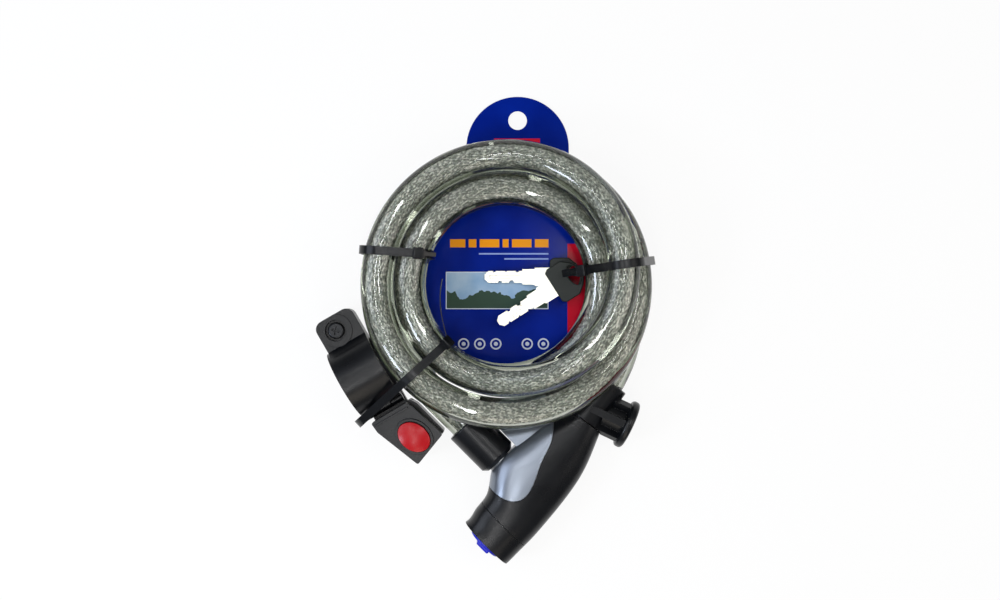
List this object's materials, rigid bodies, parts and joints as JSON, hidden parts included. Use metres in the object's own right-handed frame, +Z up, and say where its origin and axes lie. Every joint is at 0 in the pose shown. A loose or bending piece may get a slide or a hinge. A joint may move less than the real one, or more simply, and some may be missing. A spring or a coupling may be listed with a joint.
{
  "type": "coiled key cable lock",
  "caption": "Coiled steel cable lock in a clear jacket with a key lock head, frame bracket, keys and hanger card, tied up for display.",
  "frame": {"origin": "on the surface it lies on, under the middle of the box round all pieces but the cable", "axes": "+Z up from the card to the front turns, +Y towards the card's hang tab, +X to the right as seen from above"},
  "size_m": [0.1937, 0.2722, 0.0601],
  "materials": {
    "clear_pvc": "gloss",
    "wire_rope": "satin",
    "black_plastic": "satin",
    "silver_plastic": "satin",
    "zinc": "satin",
    "steel": "satin",
    "brass": "satin",
    "blue_plastic": "gloss",
    "red_plastic": "gloss",
    "rubber": "matte",
    "black_steel": "satin",
    "tie_nylon": "satin",
    "nickel": "gloss",
    "dark_plastic": "matte",
    "printed_card": "satin"
  },
  "bodies": {
    "coil": {"cable_jacket": "clear_pvc", "cable_core": "wire_rope", "lead_jacket": "clear_pvc", "lead_core": "wire_rope", "ferrule_sleeve": "black_plastic", "ferrule_crimp": "steel", "locking_pin": "steel", "hanger_card": "printed_card", "tie_right": "tie_nylon", "tie_left": "tie_nylon", "tie_low": "tie_nylon", "clamp_upper": "black_plastic", "clamp_lower": "black_plastic", "tube_liner": "rubber", "hinge_pin": "steel", "clamp_screw": "black_steel", "clamp_nut": "steel", "holder_cover": "black_plastic", "holder_base": "black_plastic", "holder_screws": "steel", "button_spring": "steel"},
    "lock_head": {"head_cover": "black_plastic", "silver_trim": "silver_plastic", "end_cap": "black_plastic", "lock_case": "zinc", "cover_screws": "steel", "cylinder_housing": "brass", "pin_socket": "steel", "cable_anchor": "steel", "collar_sleeve": "black_plastic", "mount_stud": "black_plastic", "stud_screw": "steel"},
    "plug": {"key_plug": "brass", "wafers": "brass", "wafer_springs": "steel", "plug_face": "blue_plastic"},
    "latch": {"latch_plate": "steel"},
    "button": {"release_button": "red_plastic"},
    "key_a": {"key_blade_a": "nickel", "key_bow_a": "dark_plastic"},
    "key_b": {"key_blade_b": "nickel", "key_bow_b": "dark_plastic"}
  },
  "joints": [
    {"name": "head_slide", "type": "slide", "parent": "coil", "child": "lock_head", "axis": [0.7071, -0.7071, 0], "range_m": [0, 0.024], "deforming": ["lead_jacket", "lead_core"]},
    {"name": "plug_turn", "type": "hinge", "parent": "lock_head", "child": "plug", "pos_m": [0.00034, -0.12406, 0.0145], "axis": [0.7071, 0.7071, 0], "range_deg": [0, 90]},
    {"name": "latch_slide", "type": "slide", "parent": "lock_head", "child": "latch", "axis": [0, 0, 1], "range_m": [0, 0.0025]},
    {"name": "button_press", "type": "slide", "parent": "coil", "child": "button", "axis": [0, 0, -1], "range_m": [0, 0.0025], "stiffness_N_per_m": 600, "springref_m": -0.003, "deforming": ["button_spring"]},
    {"name": "key_a_swing", "type": "hinge", "parent": "coil", "child": "key_a", "pos_m": [0.0514, 0.03245, 0.0095], "axis": [0, 0, 1], "range_deg": [-12, 3]},
    {"name": "key_b_swing", "type": "hinge", "parent": "coil", "child": "key_b", "pos_m": [0.0514, 0.03245, 0.014], "axis": [0, 0, 1], "range_deg": [-3, 12]}
  ],
  "couplings": [
    {"joint": "latch_slide", "follows": "plug_turn", "m_per_rad": 0.00159}
  ]
}
